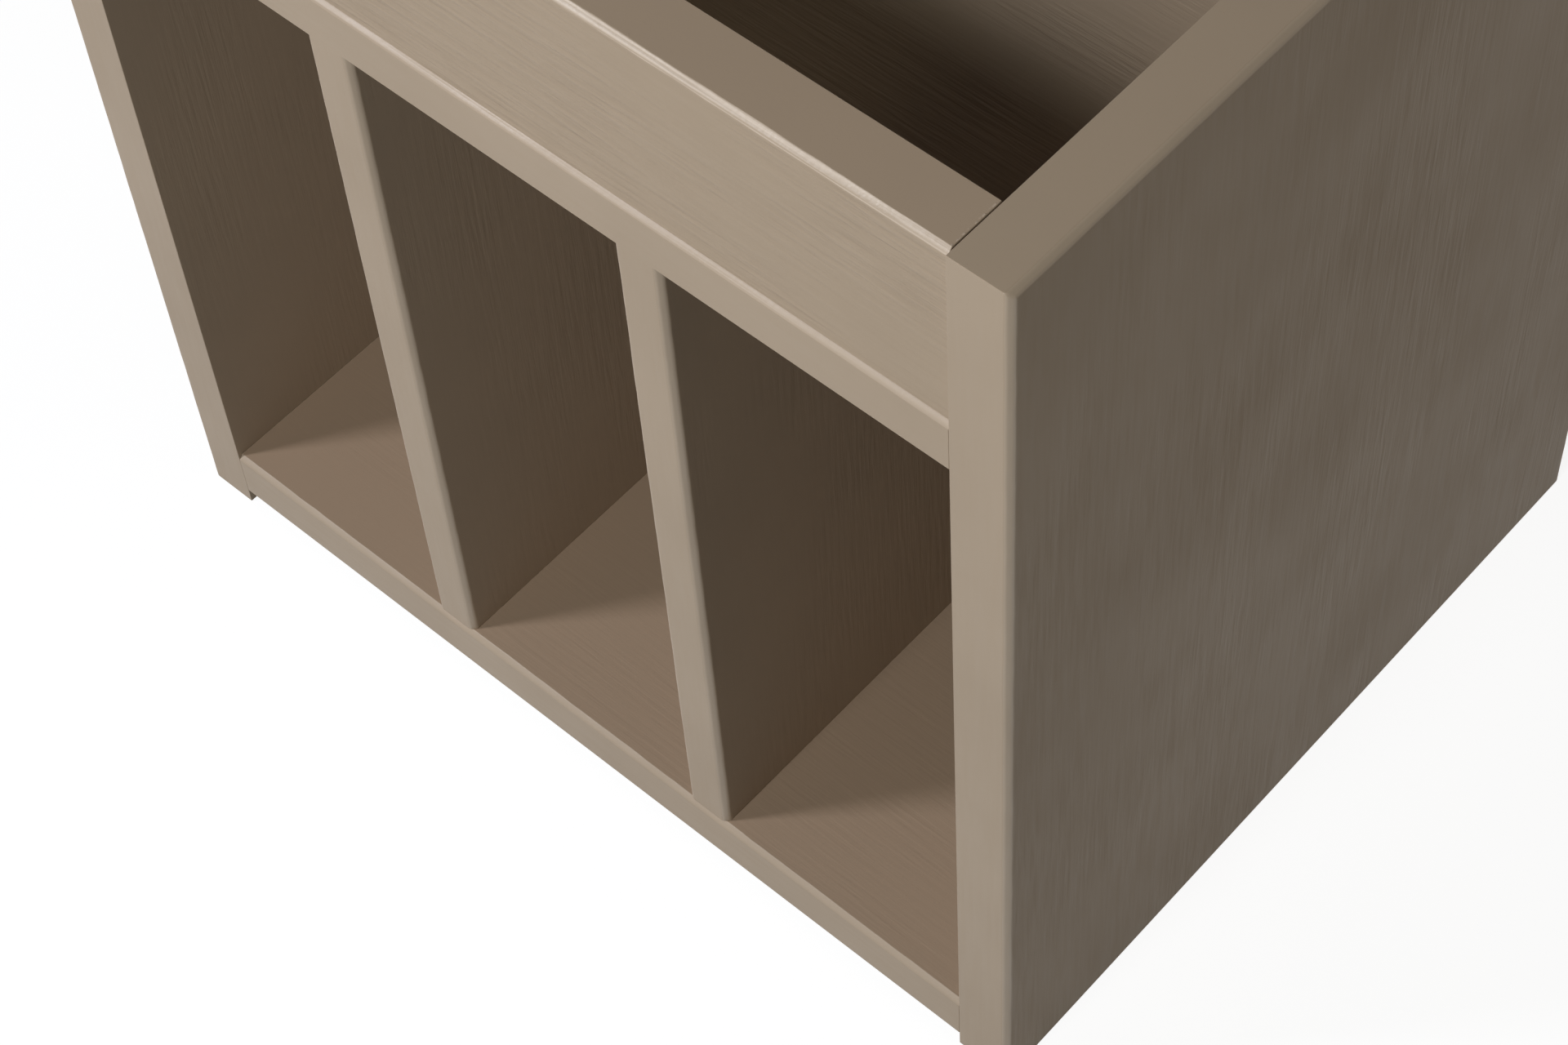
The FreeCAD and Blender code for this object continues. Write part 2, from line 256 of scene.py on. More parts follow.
def add_block(name: str, box: Box) -> bpy.types.Object:
    """A plain block that fills a box, with its place in its mesh.

    Args:
        name: The new object's name.
        box: The space that the block fills.

    Returns:
        The block.
    """
    start_clean()
    bpy.ops.mesh.primitive_cube_add(size=1, location=box.middle(), scale=box.size())
    piece = bpy.context.object
    piece.name = name
    bpy.ops.object.transform_apply(location=True, rotation=True, scale=True)
    return piece


def add_turned(name: str, profile: Profile, sides: int) -> bpy.types.Object:
    """A turned piece about the Z axis, drawn up from a disc ring by ring.

    Args:
        name: The new object's name.
        profile: The (radius, height) of each ring, from the lowest up.
        sides: The number of sides around.

    Returns:
        The closed piece.
    """
    start_clean()
    radius, height = profile[0]
    bpy.ops.mesh.primitive_circle_add(
        vertices=sides, radius=radius, fill_type="NGON", location=(0, 0, height)
    )
    piece = bpy.context.object
    piece.name = name
    bpy.ops.object.transform_apply(location=True, rotation=True, scale=True)
    with edit(piece):
        bpy.ops.mesh.select_all(action="SELECT")
        for next_radius, next_height in profile[1:]:
            rise = (0, 0, next_height - height)
            bpy.ops.mesh.extrude_region_move(TRANSFORM_OT_translate={"value": rise})
            share = next_radius / radius
            bpy.ops.transform.resize(value=(share, share, 1), center_override=(0, 0, next_height))
            radius, height = next_radius, next_height
        bpy.ops.mesh.select_all(action="SELECT")
        bpy.ops.mesh.normals_make_consistent(inside=False)
    return piece


def join(pieces: list[bpy.types.Object], name: str) -> bpy.types.Object:
    """Join pieces into one.

    Args:
        pieces: The pieces, each at the origin.
        name: The joined piece's name.

    Returns:
        The joined piece.
    """
    take(pieces[0])
    for piece in pieces[1:]:
        piece.select_set(True)
    if len(pieces) > 1:
        bpy.ops.object.join()
    pieces[0].name = name
    return pieces[0]


def cut_away(piece: bpy.types.Object, tool: bpy.types.Object) -> None:
    """Cut a tool out of a piece, and put the tool away."""
    apply_modifier(piece, "BOOLEAN", operation="DIFFERENCE", object=tool, solver="EXACT", use_self=True)
    bpy.data.objects.remove(tool)


def smooth(piece: bpy.types.Object) -> None:
    """Shade rounded edges smoothly while flat faces stay flat.

    Args:
        piece: The piece to shade.
    """
    take(piece)
    bpy.ops.object.shade_smooth_by_angle(angle=math.radians(SMOOTH_DEG))
    apply_modifier(piece, "WEIGHTED_NORMAL", mode="FACE_AREA", weight=FLAT_FACE_WEIGHT, keep_sharp=True)


@dataclass(frozen=True)
class Pattern:
    """A noise pattern: its features in a metre along and across its run, its finer layers, its warp."""

    along: float
    across: float
    detail: float
    warp: float = 0

    def scale(self, axis: int) -> Triple:
        """The features in a metre on each axis, for a pattern that runs along one of them."""
        return tuple(self.along if index == axis else self.across for index in range(3))


class Shader:
    """The node tree of one material or world, wired through short calls."""

    MIX_FACTOR, MIX_FIRST, MIX_SECOND, MIX_RESULT = 0, 6, 7, 2
    PLACE = "place"

    def __init__(self, holder: bpy.types.Material | bpy.types.World, surface: str, output: str) -> None:
        """Open the node tree of a material or world.

        Args:
            holder: What the nodes belong to.
            surface: The name of its shader node.
            output: The name of its output node.
        """
        holder.use_nodes = True
        self.holder = holder
        self.tree = holder.node_tree
        self.surface = self.tree.nodes[surface]
        self.output = self.tree.nodes[output]

    @classmethod
    def of_material(cls, name: str) -> "Shader":
        """A new material's tree."""
        return cls(bpy.data.materials.new(name), "Principled BSDF", "Material Output")

    @classmethod
    def of_world(cls, name: str) -> "Shader":
        """A new world's tree."""
        return cls(bpy.data.worlds.new(name), "Background", "World Output")

    @property
    def place(self) -> Socket:
        """The object's own coordinates."""
        found = self.tree.nodes.get(self.PLACE) or self.add("ShaderNodeTexCoord", {}, name=self.PLACE)
        return found.outputs["Object"]

    def plug(self, socket: Socket, value: Value) -> None:
        """Link another node's output to a socket, or set the socket's value.

        Args:
            socket: The input that takes the value.
            value: The output to link, or the value to set.
        """
        if isinstance(value, Socket):
            self.tree.links.new(value, socket)
        else:
            socket.default_value = value

    def add(self, kind: str, sockets: dict[str | int, Value], **settings: object) -> bpy.types.Node:
        """Add a node.

        Args:
            kind: The node's type.
            sockets: Values or links for its inputs, by name or number.
            settings: Values for its properties.

        Returns:
            The new node.
        """
        node = self.tree.nodes.new(kind)
        for name, value in settings.items():
            setattr(node, name, value)
        for key, value in sockets.items():
            self.plug(node.inputs[key], value)
        return node

    def noise(self, pattern: Pattern, axis: int = 0) -> Socket:
        """A noise pattern on the object's coordinates.

        Args:
            pattern: The pattern.
            axis: The index of the axis that it runs along.

        Returns:
            The pattern's value, about a half on average.
        """
        mapping = self.add("ShaderNodeMapping", {"Vector": self.place, "Scale": pattern.scale(axis)})
        sockets = {
            "Vector": mapping.outputs["Vector"],
            "Scale": 1,
            "Detail": pattern.detail,
            "Distortion": pattern.warp,
        }
        return self.add("ShaderNodeTexNoise", sockets).outputs["Fac"]

    def spread(self, value: Socket, span: Span, to: Span = (0, 1)) -> Socket:
        """Stretch a span of values to another, held at its ends.

        Args:
            value: The value to stretch.
            span: The values that give the two ends.
            to: The two ends.

        Returns:
            The stretched value.
        """
        ends = ("From Min", "From Max", "To Min", "To Max")
        sockets = {"Value": value, **dict(zip(ends, (*span, *to)))}
        return self.add("ShaderNodeMapRange", sockets).outputs["Result"]

    def math(self, operation: str, first: Value, second: Value) -> Socket:
        """Work out one value from two."""
        return self.add("ShaderNodeMath", {0: first, 1: second}, operation=operation).outputs["Value"]

    def times(self, first: Value, second: Value) -> Socket:
        """One value times another."""
        return self.math("MULTIPLY", first, second)

    def plus(self, first: Value, second: Value) -> Socket:
        """One value added to another."""
        return self.math("ADD", first, second)

    def mean(self, first: Value, second: Value) -> Socket:
        """The mean of two values."""
        return self.times(self.plus(first, second), 0.5)

    def blend(self, factor: Value, first: Value, second: Value) -> Socket:
        """Blend one colour into another.

        Args:
            factor: The second colour's share.
            first: The first colour.
            second: The second colour.

        Returns:
            The blended colour.
        """
        sockets = {self.MIX_FACTOR: factor, self.MIX_FIRST: first, self.MIX_SECOND: second}
        return self.add("ShaderNodeMix", sockets, data_type="RGBA").outputs[self.MIX_RESULT]

    def mark(self, mark: Mark) -> Socket:
        """How far a face carries a mark."""
        return self.add("ShaderNodeAttribute", {}, attribute_name=mark.value).outputs["Fac"]

    def finish(self, name: str, value: Value) -> None:
        """Give one of the surface's inputs its value."""
        self.plug(self.surface.inputs[name], value)

    def relief(self, height: Value, strength: Value, depth: float) -> None:
        """Give the surface a fine relief.

        Args:
            height: The pattern of the relief.
            strength: How much of it shows.
            depth: How deep it is.
        """
        bump = self.add("ShaderNodeBump", {"Height": height, "Strength": strength, "Distance": depth})
        self.finish("Normal", bump.outputs["Normal"])


@dataclass(frozen=True)
class BrushedPaint:
    """Satin paint on softwood: brushed broad faces, smooth narrow edges, and chamfers lit by a painted
    highlight.
    """

    slot: Slot
    joint: float | None = None
    colour: Colour = (0.416, 0.323, 0.233, 1)
    cloud_colour: Colour = (0.396, 0.308, 0.223, 1)
    # Grooves: partly the grain's dark lines, partly painted shade in the brushed hollows. Ridges: a
    # painted highlight on the brushed ridges.
    groove_shade_colour: Colour = (0.306, 0.229, 0.162, 1)
    ridge_highlight_colour: Colour = (0.480, 0.380, 0.282, 1)
    # Painted highlight colour, used on the chamfers and on the paint beads.
    highlight_colour: Colour = (0.561, 0.457, 0.357, 1)
    # Painted shade colour: stands in for the dimmer, warmer light on the bay floors and the apron's
    # top.
    painted_shade_colour: Colour = (0.398, 0.284, 0.197, 1)
    strands: Pattern = Pattern(34, 520, detail=4, warp=0.15)
    streaks: Pattern = Pattern(9, 1050, detail=1)
    patches: Pattern = Pattern(7, 20, detail=2)
    clouds: Pattern = Pattern(12, 12, detail=3)
    dents: Pattern = Pattern(550, 550, detail=2)
    specks: Pattern = Pattern(1300, 1300, detail=1)
    drops: Pattern = Pattern(1100, 700, detail=0)
    groove_span: Span = (0.50, 0.68)
    ridge_span: Span = (0.48, 0.34)
    streak_span: Span = (0.36, 0.52)
    patch_span: Span = (0.40, 0.60)
    patch_brush: Span = (0.2, 1)
    cloud_span: Span = (0.35, 0.65)
    gloss_span: Span = (0.35, 0.65)
    speck_span: Span = (0.70, 0.78)
    drop_span: Span = (0.55, 0.66)
    bead_band: Span = (0.0015, 0.0006)
    groove_shade_share: float = 0.16
    ridge_highlight_share: float = 0.18
    dent_share: float = 0.6
    speck_share: float = 0.03
    bead_share: float = 0.2
    roughness: Span = (0.38, 0.50)
    calm_brush: float = 0.15
    brushed_sheen: float = 0.05
    smooth_sheen: float = 0.13
    edge_sheen: float = 0.50
    relief_depth: float = 0.0009
    face_relief: float = 0.85
    edge_relief: float = 0.30

    def beads(self, paint: Shader) -> Socket:
        """Small beads of paint along the joints at a board's ends, raised in relief and coloured with
        the painted highlight.

        Args:
            paint: The material's tree.

        Returns:
            One on a bead.
        """
        across = paint.add("ShaderNodeSeparateXYZ", {"Vector": paint.place}).outputs["X"]
        far, near = (self.joint - reach for reach in self.bead_band)
        band = paint.spread(paint.math("ABSOLUTE", across, 0), (far, near))
        drops = paint.spread(paint.noise(self.drops), self.drop_span)
        return paint.times(paint.times(band, drops), paint.mark(Mark.BEADED))

    def material(self) -> bpy.types.Material:
        """Mix the paint: its colour, then its sheen, then its relief.

        Returns:
            The material.
        """
        paint = Shader.of_material(self.slot.value)
        marks = (Mark.BRUSHED, Mark.POLISHED, Mark.RUBBED, Mark.WORN)
        brushed, polished, edge, worn = map(paint.mark, marks)
        along_grain = (self.strands, self.streaks, self.patches)
        strands, streaks, patches = (paint.noise(each, self.slot.grain_axis) for each in along_grain)
        clouds, dents, specks = map(paint.noise, (self.clouds, self.dents, self.specks))
        brushing = paint.times(paint.spread(patches, self.patch_span, self.patch_brush), brushed)
        beads = None if self.joint is None else self.beads(paint)

        # Painted shade in the relief's low strands, together with grain lines; painted highlight on its
        # high strands.
        groove_shade = paint.spread(strands, self.groove_span, (0, self.groove_shade_share))
        ridge_highlight = paint.spread(strands, self.ridge_span, (0, self.ridge_highlight_share))
        coats = [
            (paint.spread(clouds, self.cloud_span), self.cloud_colour),
            (paint.times(groove_shade, brushing), self.groove_shade_colour),
            (paint.times(ridge_highlight, brushing), self.ridge_highlight_colour),
            # Painted shade on up-facing faces: the bay floors and the apron's top.
            (worn, self.painted_shade_colour),
            # Painted highlight: a lighter colour in streaks along the up-and-front chamfers stands in
            # for the lamps' glint.
            (paint.times(paint.spread(streaks, self.streak_span), edge), self.highlight_colour),
        ]
        # Painted glints: the beads take the lighter painted highlight colour.
        if beads is not None:
            coats.append((beads, self.highlight_colour))
        colour = self.colour
        for share, coat in coats:
            colour = paint.blend(share, colour, coat)
        paint.finish("Base Color", colour)

        sheen = paint.spread(brushed, (0, self.calm_brush), (self.smooth_sheen, self.brushed_sheen))
        shine = paint.spread(polished, (0, 1), (0, self.edge_sheen - self.smooth_sheen))
        paint.finish("Specular IOR Level", paint.plus(sheen, shine))
        gloss = paint.spread(paint.mean(clouds, strands), self.gloss_span, self.roughness)
        paint.finish("Roughness", gloss)

        dented = paint.times(paint.plus(streaks, paint.times(dents, self.dent_share)), edge)
        height = paint.math("SUBTRACT", dented, paint.times(strands, brushing))
        height = paint.plus(height, paint.spread(specks, self.speck_span, (0, self.speck_share)))
        if beads is not None:
            height = paint.plus(height, paint.times(beads, self.bead_share))
        strength = paint.spread(edge, (0, 1), (self.face_relief, self.edge_relief))
        paint.relief(height, strength, self.relief_depth)
        return paint.holder


@dataclass(frozen=True)
class RolledPaint:
    """The same paint rolled on a thin smooth sheet, with a faint stipple."""

    slot: Slot = Slot.BACK
    colour: Colour = (0.412, 0.308, 0.219, 1)
    shade_colour: Colour = (0.369, 0.274, 0.194, 1)
    clouds: Pattern = Pattern(6, 6, detail=4)
    stipple: Pattern = Pattern(700, 700, detail=2)
    cloud_span: Span = (0.35, 0.65)
    stipple_span: Span = (0.3, 0.7)
    sheen: float = 0.1
    roughness: Span = (0.48, 0.58)
    relief: float = 0.2
    relief_depth: float = 0.0002

    def material(self) -> bpy.types.Material:
        """Mix the paint.

        Returns:
            The material.
        """
        paint = Shader.of_material(self.slot.value)
        paint.finish("Specular IOR Level", self.sheen)
        clouds, stipple = map(paint.noise, (self.clouds, self.stipple))
        shade = paint.spread(clouds, self.cloud_span)
        paint.finish("Base Color", paint.blend(shade, self.colour, self.shade_colour))
        paint.finish("Roughness", paint.spread(stipple, self.stipple_span, self.roughness))
        paint.relief(stipple, self.relief, self.relief_depth)
        return paint.holder


@dataclass(frozen=True)
class DowelWood:
    """Pale hardwood with straight grain."""

    slot: Slot = Slot.DOWEL
    colour: Colour = (0.60, 0.40, 0.23, 1)
    late_colour: Colour = (0.42, 0.25, 0.13, 1)
    rings: Pattern = Pattern(180, 420, detail=4, warp=0.6)
    fibres: Pattern = Pattern(900, 2400, detail=2)
    ring_span: Span = (0.4, 0.62)
    fibre_span: Span = (0.3, 0.7)
    roughness: Span = (0.55, 0.75)
    relief: float = 0.3
    relief_depth: float = 0.0002

    def material(self) -> bpy.types.Material:
        """Make the wood.

        Returns:
            The material.
        """
        wood = Shader.of_material(self.slot.value)
        rings, fibres = map(wood.noise, (self.rings, self.fibres))
        late = wood.spread(rings, self.ring_span)
        wood.finish("Base Color", wood.blend(late, self.colour, self.late_colour))
        wood.finish("Roughness", wood.spread(fibres, self.fibre_span, self.roughness))
        wood.relief(wood.plus(rings, fibres), self.relief, self.relief_depth)
        return wood.holder


@dataclass(frozen=True)
class BareMetal:
    """Metal with fine scratches and a dull film."""

    slot: Slot
    colour: Colour
    film_colour: Colour
    roughness: Span
    pits: Pattern
    film: Pattern = Pattern(160, 160, detail=4)
    scratches: Pattern = Pattern(900, 2600, detail=3)
    scratch_axis: int = 1
    film_span: Span = (0.4, 0.65)
    gloss_span: Span = (0.35, 0.65)
    relief: float = 0.2
    relief_depth: float = 0.0001

    def material(self) -> bpy.types.Material:
        """Make the metal.

        Returns:
            The material.
        """
        metal = Shader.of_material(self.slot.value)
        metal.finish("Metallic", 1)
        film, pits = map(metal.noise, (self.film, self.pits))
        scratches = metal.noise(self.scratches, self.scratch_axis)
        dull = metal.spread(film, self.film_span)
        metal.finish("Base Color", metal.blend(dull, self.colour, self.film_colour))
        gloss = metal.spread(metal.mean(film, scratches), self.gloss_span, self.roughness)
        metal.finish("Roughness", gloss)
        metal.relief(metal.plus(scratches, pits), self.relief, self.relief_depth)
        return metal.holder


class Paintwork:
    """The cabinet's finishes, each made once."""

    def __init__(self) -> None:
        """Make every material."""
        finishes = (
            BrushedPaint(Slot.UPRIGHT, groove_shade_share=0.36),
            BrushedPaint(Slot.LEVEL, joint=node_box("front_apron").high.x),
            RolledPaint(),
            DowelWood(),
            BareMetal(
                Slot.STEEL,
                colour=(0.62, 0.61, 0.58, 1),
                film_colour=(0.50, 0.49, 0.45, 1),
                roughness=(0.26, 0.42),
                pits=Pattern(900, 900, detail=2),
            ),
            BareMetal(
                Slot.ZINC,
                colour=(0.52, 0.52, 0.53, 1),
                film_colour=(0.40, 0.40, 0.41, 1),
                roughness=(0.42, 0.58),
                pits=Pattern(1800, 1800, detail=2),
            ),
        )
        self.materials = {finish.slot: finish.material() for finish in finishes}

    def put_on(self, piece: bpy.types.Object, slot: Slot) -> None:
        """Give a piece of the scene its finish, the material made for one slot.

        Args:
            piece: The piece to dress.
            slot: The finish's slot.
        """
        piece.data.materials.clear()
        piece.data.materials.append(self.materials[slot])

    def put_on_node(self, node: str, slot: Slot) -> None:
        """Give a CAD node that stays in view its finish."""
        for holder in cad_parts[node].material_slots:
            holder.material = self.materials[slot]


@dataclass
class Fastener:
    """A set of equal fasteners that stands for one CAD node."""

    node: str
    slot: Slot
    head: Face
    sides: int = 36
    rim: float = 0.0003
    rim_segments: int = 2
    rim_deg: float = 35
    turn_step_deg: float = 47
    recess_shares: Triple = (1.1, 0.24, 0.45)
    recess_taper: float = 0.55
    foot_tilt: float = -0.5

    @cached_property
    def solids(self) -> list[Box]:
        """The boxes of the single fasteners."""
        return solid_boxes(self.node)

    def places(self) -> list[Vector]:
        """Find where the fasteners sit.

        Returns:
            The outermost point of each fastener, on its own axis.
        """
        places = []
        for box in self.solids:
            place = box.middle()
            place[self.head.axis] = box.plane(self.head)
            places.append(place)
        return sorted(places, key=tuple)

    def radius(self) -> float:
        """The fastener's largest radius."""
        size = self.solids[0].size()
        return max(size[axis] for axis in range(3) if axis != self.head.axis) / 2

    def length(self) -> float:
        """The fastener's length along its axis."""
        return self.solids[0].size()[self.head.axis]

    def profile(self) -> Profile:
        """The (radius, height) rings of one fastener, from the lowest up, with its head at zero."""
        raise NotImplementedError

    def socket_profile(self) -> Profile:
        """The (radius, height) rings of the hollow that takes the head."""
        raise NotImplementedError

    def recess(self) -> Triple:
        """The length, width and depth of the cross recess."""
        return tuple(self.radius() * share for share in self.recess_shares)

    def spread_copies(self, model: bpy.types.Object, name: str) -> bpy.types.Object:
        """Put a copy of a model at every place and join them.

        Args:
            model: One fastener or tool with its outermost point at the origin; it is used up.
            name: The joined piece's name.

        Returns:
            The joined piece.
        """
        copies = []
        aim = UP.rotation_difference(self.head.normal).to_matrix().to_4x4()
        for count, place in enumerate(self.places()):
            copy = model.copy()
            copy.data = model.data.copy()
            turn = Matrix.Rotation(math.radians(self.turn_step_deg * count), 4, "Z")
            copy.data.transform(Matrix.Translation(place) @ aim @ turn)
            bpy.context.scene.collection.objects.link(copy)
            copies.append(copy)
        bpy.data.objects.remove(model)
        return join(copies, name)

    def cross_arm(self, turned: bool) -> bpy.types.Object:
        """One arm of the driver recess, narrower at its foot.

        Args:
            turned: Whether the arm lies along Y instead of X.

        Returns:
            The arm as a cutting tool.
        """
        length, width, depth = self.recess()
        half = Vector((width, length, 0) if turned else (length, width, 0)) / 2
        half.z = depth
        arm = add_block("recess_arm", Box(-half, half))
        taper = (self.recess_taper, self.recess_taper, 1)
        with edit(arm):
            select(arm, Element.FACE, lambda face: face.normal.z < self.foot_tilt)
            bpy.ops.transform.resize(value=taper, center_override=(0, 0, -depth))
        return arm

    def build(self, paintwork: Paintwork) -> bpy.types.Object:
        """Model one fastener, copy it to every place and dress the set.

        Args:
            paintwork: The finishes.

        Returns:
            The whole set as one piece.
        """
        model = add_turned(self.node + "_model", self.profile(), self.sides)
        for turned in (False, True):
            cut_away(model, self.cross_arm(turned))
        apply_modifier(
            model,
            "BEVEL",
            width=self.rim,
            segments=self.rim_segments,
            limit_method="ANGLE",
            angle_limit=math.radians(self.rim_deg),
        )
        smooth(model)
        piece = self.spread_copies(model, self.node + "_set")
        paintwork.put_on(piece, self.slot)
        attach(piece, BODY)
        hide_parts(self.node)
        return piece

    def sockets(self) -> bpy.types.Object:
        """A tool that cuts the hollows for all heads of the set."""
        tool = add_turned(self.node + "_sockets", self.socket_profile(), self.sides)
        return self.spread_copies(tool, self.node + "_sockets")


@dataclass
class CamSet(Fastener):
    """Cam drums, let into a board so that only their faces show."""

    sink: float = 0.0005
    clearance: float = 0.0002
    lip: float = 0.0009
    dish: float = 0.0005

    def profile(self) -> Profile:
        """The drum, with a raised lip around a dished face.

        Returns:
            The rings, from the lowest up.
        """
        radius = self.radius()
        inner = radius - self.lip
        return [(radius, -self.length()), (radius, 0), (inner, 0), (inner - self.dish, -self.dish)]

    def socket_profile(self) -> Profile:
        """A plain blind bore."""
        radius = self.radius() + self.clearance
        return [(radius, -self.length()), (radius, 2 * self.sink)]


@dataclass
class CountersunkSet(Fastener):
    """Countersunk screws whose flat heads lie just below the face."""

    recess_shares: Triple = (1.05, 0.26, 0.5)
    sink: float = 0.0005
    clearance: float = 0.0002
    rim_height: float = 0.0006
    shank_share: float = 0.5
    tip_share: float = 0.2

    def cone(self, radius: float) -> Profile:
        """The head's countersink and rim, up to its flat top."""
        shank = radius * self.shank_share
        return [(shank, -self.rim_height - radius + shank), (radius, -self.rim_height), (radius, 0)]

    def profile(self) -> Profile:
        """A pointed shank under the countersunk head.

        Returns:
            The rings, from the lowest up.
        """
        radius = self.radius()
        shank = radius * self.shank_share
        point = [(shank * self.tip_share, -self.length()), (shank, -self.length() + shank)]
        return point + self.cone(radius)

    def socket_profile(self) -> Profile:
        """A countersink a little wider than the head."""
        radius = self.radius() + self.clearance
        return self.cone(radius) + [(radius, 2 * self.sink)]


@dataclass
class PanHeadSet(Fastener):
    """Small pan head screws that sit on the face."""

    recess_shares: Triple = (1.1, 0.28, 0.4)
    head_height: float = 0.002
    shank_share: float = 0.47
    tip_share: float = 0.3
    wall_share: float = 0.45
    crown_share: float = 0.35
    crown_steps: int = 4

    def profile(self) -> Profile:
        """A shank under a low domed head.

        Returns:
            The rings, from the lowest up.
        """
        radius, tip, foot = self.radius(), -self.length(), -self.head_height
        shank = radius * self.shank_share
        rings = [(shank * self.tip_share, tip), (shank, tip + shank), (shank, foot), (radius, foot)]
        for step in range(self.crown_steps):
            angle = QUARTER_TURN * step / self.crown_steps
            rise = self.wall_share + (1 - self.wall_share) * math.sin(angle)
            reach = self.crown_share + (1 - self.crown_share) * math.cos(angle)
            rings.append((radius * reach, foot + self.head_height * rise))
        return rings + [(radius * self.crown_share, 0)]


@dataclass
class Board:
    """A painted board that stands for one CAD node, with brushed chamfers and eased edges."""

    node: str
    slot: Slot
    chamfers: tuple[FacePair, ...] = ()
    sockets: tuple[Fastener, ...] = ()
    chamfer: float = 0.002
    ease: float = 0.00025
    soft_ease: float = 0.0009
    ease_segments: int = 3
    end_gap: float = 0
    slice_pitch: float = 0.005
    waver: float = 0.00022
    waver_scale: float = 90
    waver_fade: float = 1
    waver_step: float = 2
    waver_octaves: int = 3
    # How much painted highlight the up-and-front chamfers carry.
    rub: float = 0
    brush: float = 1
    beaded: bool = False
    # How much painted shade the board's up-facing face carries.
    worn: float = 0
    sharp_deg: float = 20
    square: float = 0.99
    tilt: float = 0.2

    @cached_property
    def box(self) -> Box:
        """The space that the board fills, short of the joints at its ends."""
        box, gap = node_box(self.node), Vector((self.end_gap, 0, 0))
        return Box(box.low + gap, box.high - gap)

    @cached_property
    def broad_axis(self) -> int:
        """The axis that the two broad faces look along."""
        size = self.box.size()
        return min(range(3), key=lambda axis: size[axis])

    def on_edge(self, edge: bmesh.types.BMEdge, pair: FacePair) -> bool:
        """Whether an edge of the plain block is the one between two of its faces."""
        ends = [vert.co[face.axis] - self.box.plane(face) for vert in edge.verts for face in pair]
        return max(map(abs, ends)) < SAME_PLACE

    def cut_chamfers(self, piece: bpy.types.Object) -> None:
        """Plane the flat chamfers.

        Args:
            piece: The plain block.
        """
        def chamfered(edge: bmesh.types.BMEdge) -> bool:
            """Whether an edge gets a chamfer."""
            return any(self.on_edge(edge, pair) for pair in self.chamfers)

        with edit(piece):
            select(piece, Element.EDGE, chamfered)
            bpy.ops.mesh.bevel(offset=self.chamfer, offset_type="OFFSET", segments=1, affect="EDGES")

    def slice_along(self, piece: bpy.types.Object, axis: int) -> None:
        """Divide the board by level cuts along one axis, so that its edges can waver.

        Args:
            piece: The board.
            axis: The axis that the cuts follow each other on.
        """
        box = self.box
        count = round(box.size()[axis] / self.slice_pitch)
        normal = [1 if index == axis else 0 for index in range(3)]
        with edit(piece):
            for step in range(1, count):
                bpy.ops.mesh.select_all(action="SELECT")
                place = box.low.lerp(box.high, step / count)
                bpy.ops.mesh.bisect(plane_co=place, plane_no=normal)

    def drift(self, place: Vector, face: Face) -> float:
        """How far a chamfer's border on a face strays at a place."""
        start = place * self.waver_scale + face.normal
        return self.waver * noise.fractal(start, self.waver_fade, self.waver_step, self.waver_octaves)

    def waver_edges(self, piece: bpy.types.Object) -> None:
        """Let each chamfer's borders wander a little in their own faces, as a hand brush leaves them.

        Args:
            piece: The sliced board.
        """
        box = self.box
        for pair in self.chamfers:
            run = run_axis(pair)
            start, end = box.low[run] + self.chamfer, box.high[run] - self.chamfer
            for held, moved in (pair, pair[::-1]):
                border = box.plane(moved) - moved.sign * self.chamfer
                for vert in piece.data.vertices:
                    on_face = abs(vert.co[held.axis] - box.plane(held)) < SAME_PLACE
                    on_border = abs(vert.co[moved.axis] - border) < SAME_PLACE
                    if on_face and on_border and start < vert.co[run] < end:
                        vert.co[moved.axis] += self.drift(vert.co, held)

    def weigh_edges(self, piece: bpy.types.Object) -> None:
        """Weigh the sharp edges for easing: softly at front and upright chamfers, a little elsewhere.

        Args:
            piece: The shaped board.
        """
        box = self.box
        sharp = math.radians(self.sharp_deg)
        mesh = bmesh.new()
        mesh.from_mesh(piece.data)
        weight = mesh.edges.layers.float.new("bevel_weight_edge")
        for edge in mesh.edges:
            if edge.calc_face_angle(0) < sharp:
                continue
            on_front = all(abs(vert.co.y - box.low.y) < SAME_PLACE for vert in edge.verts)
            slanted = any(max(map(abs, face.normal)) < self.square for face in edge.link_faces)
            soft = slanted and (on_front or self.slot is Slot.UPRIGHT)
            edge[weight] = 1 if soft else self.ease / self.soft_ease
        mesh.to_mesh(piece.data)
        mesh.free()

    def brushing(self, normal: Vector) -> float:
        """How far a broad face is brushed."""
        return self.brush

    def leans(self, normal: Vector, pair: FacePair) -> bool:
        """Whether a face looks between two faces of the block."""
        return min(normal.dot(face.normal) for face in pair) > self.tilt

    def marks(self, normal: Vector) -> dict[Mark, float]:
        """How far a face carries each mark.

        Args:
            normal: The direction that the face looks in.

        Returns:
            The value of every mark.
        """
        slanted = max(map(abs, normal)) < self.square
        planed = any(self.leans(normal, pair) for pair in self.chamfers)
        up_front = self.leans(normal, (Face.FRONT, Face.TOP))
        return {
            Mark.BRUSHED: self.brushing(normal) * (abs(normal[self.broad_axis]) > self.square),
            Mark.POLISHED: float(slanted and planed),
            # The painted highlight goes on slanted faces that look up and to the front.
            Mark.RUBBED: self.rub * (slanted and up_front),
            Mark.BEADED: float(self.beaded and normal.z > self.square),
            # The painted shade goes on faces that look up.
            Mark.WORN: self.worn * (normal.z > self.square),
        }

    def mark_faces(self, piece: bpy.types.Object) -> None:
        """Mark every face for the paint.

        Args:
            piece: The board with eased edges.
        """
        found = [self.marks(face.normal) for face in piece.data.polygons]
        for mark in Mark:
            layer = piece.data.attributes.new(mark.value, "FLOAT", "FACE")
            layer.data.foreach_set("value", [marks[mark] for marks in found])

    def shape(self, piece: bpy.types.Object) -> None:
        """Shape what is special to this board, before its edges are eased."""

